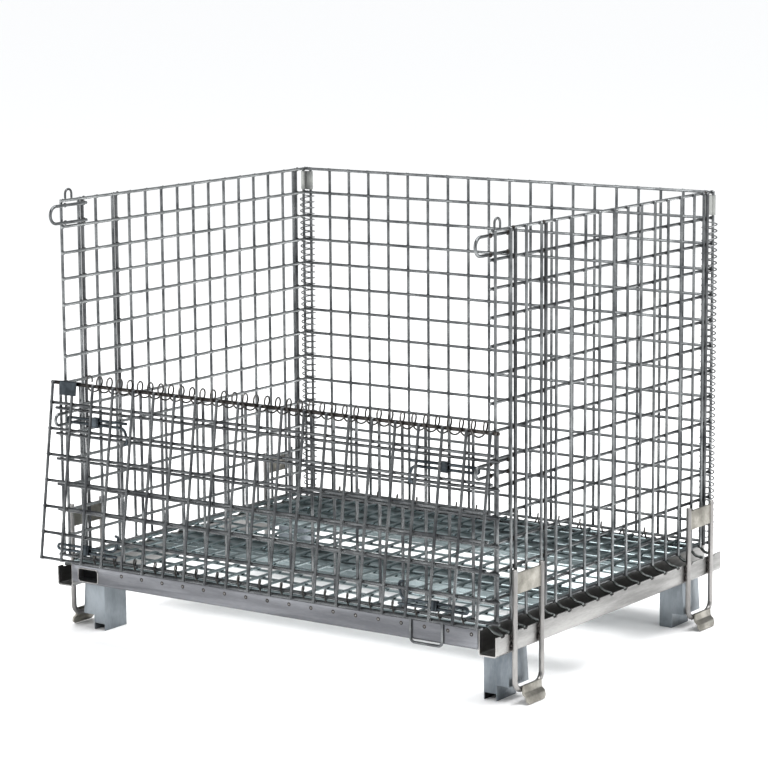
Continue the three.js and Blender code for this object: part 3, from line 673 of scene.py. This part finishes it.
# ---- drop gate ----------------------------------------------------------------------------------
# The upper half of the front hangs folded down outside the lower half, standing off at its foot.
# It is drawn upright from its hinge wire and then turned over into its place.
GATE_LEAN = math.radians(7.8)
GATE_FIRST_ROW = 39 * MM                   # from the hinge wire
gate_place = Matrix.Translation((0, front_edge - 22 * MM, 497 * MM)) @ Matrix.Rotation(
    math.pi - GATE_LEAN, 4, "X")
gate_rows = [0] + [GATE_FIRST_ROW + PITCH * i for i in range(7)]
bm = bmesh.new()
weld_mesh(bm, front_columns, gate_rows,
          lambda x, z, depth: gate_place @ Vector((x, depth, z)), TIP, other_rows=[0],
          heavy=HINGE_WIRE)
gate = finish_mesh("gate_wires", bm, [front_wire, weld_zinc, hinge_wire])
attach(gate, "gate")
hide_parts("drop_gate")

# ---- slide bolts --------------------------------------------------------------------------------
# Each bolt is a hairpin of rod with a round nose and a bent thumb piece, in a folded sleeve that
# is welded to the crosswires. All four are shown drawn back.
slate_sheet = plated("slate_sheet", (0.085, 0.10, 0.112), (0.035, 0.042, 0.048), cloud=30,
                     grain=400, shiny=0.32, matt=0.5)
BOLT = 2.75 * MM
BOLT_HALF = 4.6 * MM
BOLT_TIP = 474 * MM
BOLT_LONG = 150 * MM
THUMB = [(26 * MM, 0), (18 * MM, 0), (6 * MM, 5 * MM), (0, 26 * MM),
         (8 * MM, 31 * MM)]                # the thumb piece, as (from the inner end, drop)
SLEEVE_ROUND = 0.5 * MM
bolt_places = {
    "lower": Matrix.Translation((0, front_edge - 20 * MM, 427 * MM)),
    "gate": gate_place @ Matrix.Translation((0, -8.25 * MM, 314 * MM)),
}
for level, place in bolt_places.items():
    for side, name in ((-1, "left"), (1, "right")):
        inner = BOLT_TIP - BOLT_LONG
        nose_x = BOLT_TIP - BOLT - BOLT_HALF
        thumb = smooth_path([(inner + x, -BOLT_HALF - drop) for x, drop in THUMB], 5)
        flat = [(inner, BOLT_HALF), *arc(nose_x, 0, BOLT_HALF, 90, -180, 8), *thumb]
        bm = bmesh.new()
        rod(bm, [place @ Vector((side * x, 0, z)) for x, z in flat], BOLT, 12)
        bolt = finish_mesh(f"bolt_rod_{level}_{name}", bm, [slate_sheet])
        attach(bolt, f"bolt_{level}_{name}_body")
        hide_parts(f"bolt_{level}_{name}")
        softened(f"bolt_housing_{level}_{name}", f"bolt_sleeve_{level}_{name}", [slate_sheet],
                 "lower_front" if level == "lower" else "gate", SLEEVE_ROUND)

# ---- hinge spirals ------------------------------------------------------------------------------
# The walls, the front and the base are laced together with coils of spring wire. The gate's coil
# turns twice in each cell of the mesh, and those of the rear corners four times.
spiral_wire = plated("spiral_wire", (0.10, 0.095, 0.09), (0.04, 0.037, 0.035), cloud=30,
                     grain=600, shiny=0.25, matt=0.42)
pale_spiral = plated("pale_spiral", (0.25, 0.255, 0.26), (0.11, 0.112, 0.115), cloud=30,
                     grain=600, shiny=0.28, matt=0.42)


def coil(bm, start, end, turn_pitch, phase, radius, wire, place, steps=20):
    """A helix from start to end; phase is its angle in degrees where it stands at zero."""
    count = round((end - start) / turn_pitch * steps)
    points = []
    for i in range(count + 1):
        along = start + (end - start) * i / count
        angle = math.radians(phase) + 2 * math.pi * along / turn_pitch
        points.append(place(along, radius * math.cos(angle), radius * math.sin(angle)))
    rod(bm, points, wire, 8)


COIL_WIRE, REAR_COIL_WIRE = 1.6 * MM, 1.3 * MM
GATE_COIL, BASE_COIL, REAR_COIL = 14.6 * MM, 15.3 * MM, 14.5 * MM     # middle radius
gate_coil = Vector((0, front_edge - 14.6 * MM, 500.4 * MM))
bm = bmesh.new()
coil(bm, -425 * MM, 489 * MM, PITCH / 2, 0, GATE_COIL, COIL_WIRE,
     lambda x, v, w: gate_coil + Vector((x, v, w)))
lacing = finish_mesh("gate_lacing", bm, [spiral_wire])
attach(lacing, "lower_front")
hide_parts("spiral_gate")

for node, y, z, phase in (("spiral_front_base", -4.4, 151.5, -94),
                          ("spiral_back_base", 767, 152, 90)):
    middle = Vector((0, front_edge + y * MM, z * MM))
    bm = bmesh.new()
    coil(bm, -460 * MM, 460 * MM, PITCH, phase, BASE_COIL, COIL_WIRE,
         lambda x, v, w: middle + Vector((x, v, w)), 24)
    lacing = finish_mesh(node.replace("spiral", "lacing"), bm, [spiral_wire])
    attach(lacing, "base")
    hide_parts(node)

for side, name in ((-1, "left"), (1, "right")):
    middle = Vector((side * 483.8 * MM, front_edge + 775.5 * MM, 0))
    turn = PITCH / 4
    bm = bmesh.new()
    coil(bm, 162 * MM, 790 * MM, turn, 45 - 360 * FIRST_ROW / turn, REAR_COIL, REAR_COIL_WIRE,
         lambda z, v, w: middle + Vector((side * v, w, z)), 16)
    lacing = finish_mesh(f"rear_lacing_{name}", bm, [pale_spiral])
    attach(lacing, "base")
    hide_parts(f"spiral_rear_{name}")

# ---- clips --------------------------------------------------------------------------------------
# A dark sheet clip hooks over the gate's hinge wire at its left end. A flat sleeve of plated sheet
# holds the side wall to the back wall at the top of each rear corner.
CLIP_SHEET = 1.5 * MM
CLEAR = 0.3 * MM
CLIP_X = (-478 * MM, -437 * MM)
CLIP_LIP, CLIP_LEAF, CLIP_BEND = 4 * MM, 22 * MM, 1.9 * MM
REAR_CLIP_Z = (801 * MM, 839 * MM)
SEAM = 0.4 * MM                            # half the gap where a sleeve's sheet meets itself
lip_y = -WIRE - CLEAR - CLIP_SHEET / 2
leaf_y = LAYER + WIRE + CLEAR + CLIP_SHEET / 2
crest_z = -3.3 * MM - CLIP_SHEET / 2
clip_outline = fold([(lip_y, CLIP_LIP), (lip_y, crest_z), (leaf_y, crest_z),
                     (leaf_y, CLIP_LEAF)], CLIP_SHEET, CLIP_BEND)
bm = bmesh.new()
skin(bm, [[gate_place @ Vector((x, p.x, p.y)) for p in clip_outline] for x in CLIP_X])
clip = finish_mesh("gate_hinge_clip", bm, [slate_sheet])
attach(clip, "gate")
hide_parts("clip_gate")

clip_zinc = plated("clip_zinc", (0.42, 0.43, 0.41), (0.22, 0.228, 0.22), cloud=25, grain=400,
                   shiny=0.3, matt=0.48)
side_wire = Vector((492.1 * MM, front_edge + 774 * MM))
back_wire = Vector((475 * MM, front_edge + 776.6 * MM))
sleeve_half = WIRE + CLEAR + CLIP_SHEET / 2
sleeve_end = (side_wire - back_wire).length / 2 + sleeve_half
sleeve_outline = fold([(SEAM, -sleeve_half), (sleeve_end, -sleeve_half),
                       (sleeve_end, sleeve_half), (-sleeve_end, sleeve_half),
                       (-sleeve_end, -sleeve_half), (-SEAM, -sleeve_half)],
                      CLIP_SHEET, 0.97 * sleeve_half, 8)
middle, along = (side_wire + back_wire) / 2, (side_wire - back_wire).normalized()
for side, name in ((-1, "left"), (1, "right")):
    rings = []
    for z in REAR_CLIP_Z:
        spots = [middle + along * p.x + Vector((-along.y, along.x)) * p.y for p in sleeve_outline]
        rings.append([(side * q.x, q.y, z) for q in spots])
    bm = bmesh.new()
    skin(bm, rings)
    clip = finish_mesh(f"rear_corner_clip_{name}", bm, [clip_zinc])
    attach(clip, "base")
    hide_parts(f"clip_rear_{name}")

# ---- studio -------------------------------------------------------------------------------------
# A plain pale floor in a white room, a large softbox overhead, and weaker ones from the front and
# the right.
LIT_POINT = Vector((0, 0, 0.4))
FLOOR_HALF = 60                            # metres
floor_mesh = bpy.data.meshes.new("floor")
bm = bmesh.new()
bmesh.ops.create_grid(bm, x_segments=1, y_segments=1, size=FLOOR_HALF)
bm.to_mesh(floor_mesh)
bm.free()
floor_paint = bpy.data.materials.new("floor_paint")
floor_paint.use_nodes = True
floor_shader = floor_paint.node_tree.nodes["Principled BSDF"]
floor_shader.inputs["Base Color"].default_value = (0.95, 0.95, 0.95, 1)
floor_shader.inputs["Roughness"].default_value = 0.8
floor_mesh.materials.append(floor_paint)
floor = bpy.data.objects.new("floor", floor_mesh)
bpy.context.scene.collection.objects.link(floor)

world = bpy.data.worlds.new("studio")
world.use_nodes = True
sky, sky_links = world.node_tree.nodes, world.node_tree.links
white_room = sky["Background"]
white_room.inputs["Color"].default_value = (0.98, 0.99, 1, 1)
white_room.inputs["Strength"].default_value = 1.12
dim_room = sky.new("ShaderNodeBackground")       # what polished steel mirrors
dim_room.inputs["Color"].default_value = (0.95, 0.97, 1, 1)
dim_room.inputs["Strength"].default_value = 0.4
ray, blend = sky.new("ShaderNodeLightPath"), sky.new("ShaderNodeMixShader")
sky_links.new(ray.outputs["Is Glossy Ray"], blend.inputs["Fac"])
sky_links.new(white_room.outputs[0], blend.inputs[1])
sky_links.new(dim_room.outputs[0], blend.inputs[2])
sky_links.new(blend.outputs[0], sky["World Output"].inputs["Surface"])
bpy.context.scene.world = world

for name, spot, size, power in (("overhead", (0.5, 0, 4.2), 3.6, 260),
                                ("front_fill", (-2.5, -5, 2.2), 2.5, 70),
                                ("right_fill", (5, 0.5, 2.4), 2.2, 60)):
    light = bpy.data.lights.new(name, "AREA")
    light.size = size
    light.energy = power
    lamp = bpy.data.objects.new(name, light)
    lamp.location = spot
    lamp.rotation_euler = (LIT_POINT - Vector(spot)).to_track_quat("-Z", "Y").to_euler()
    bpy.context.scene.collection.objects.link(lamp)
bpy.context.scene.view_settings.view_transform = "Standard"
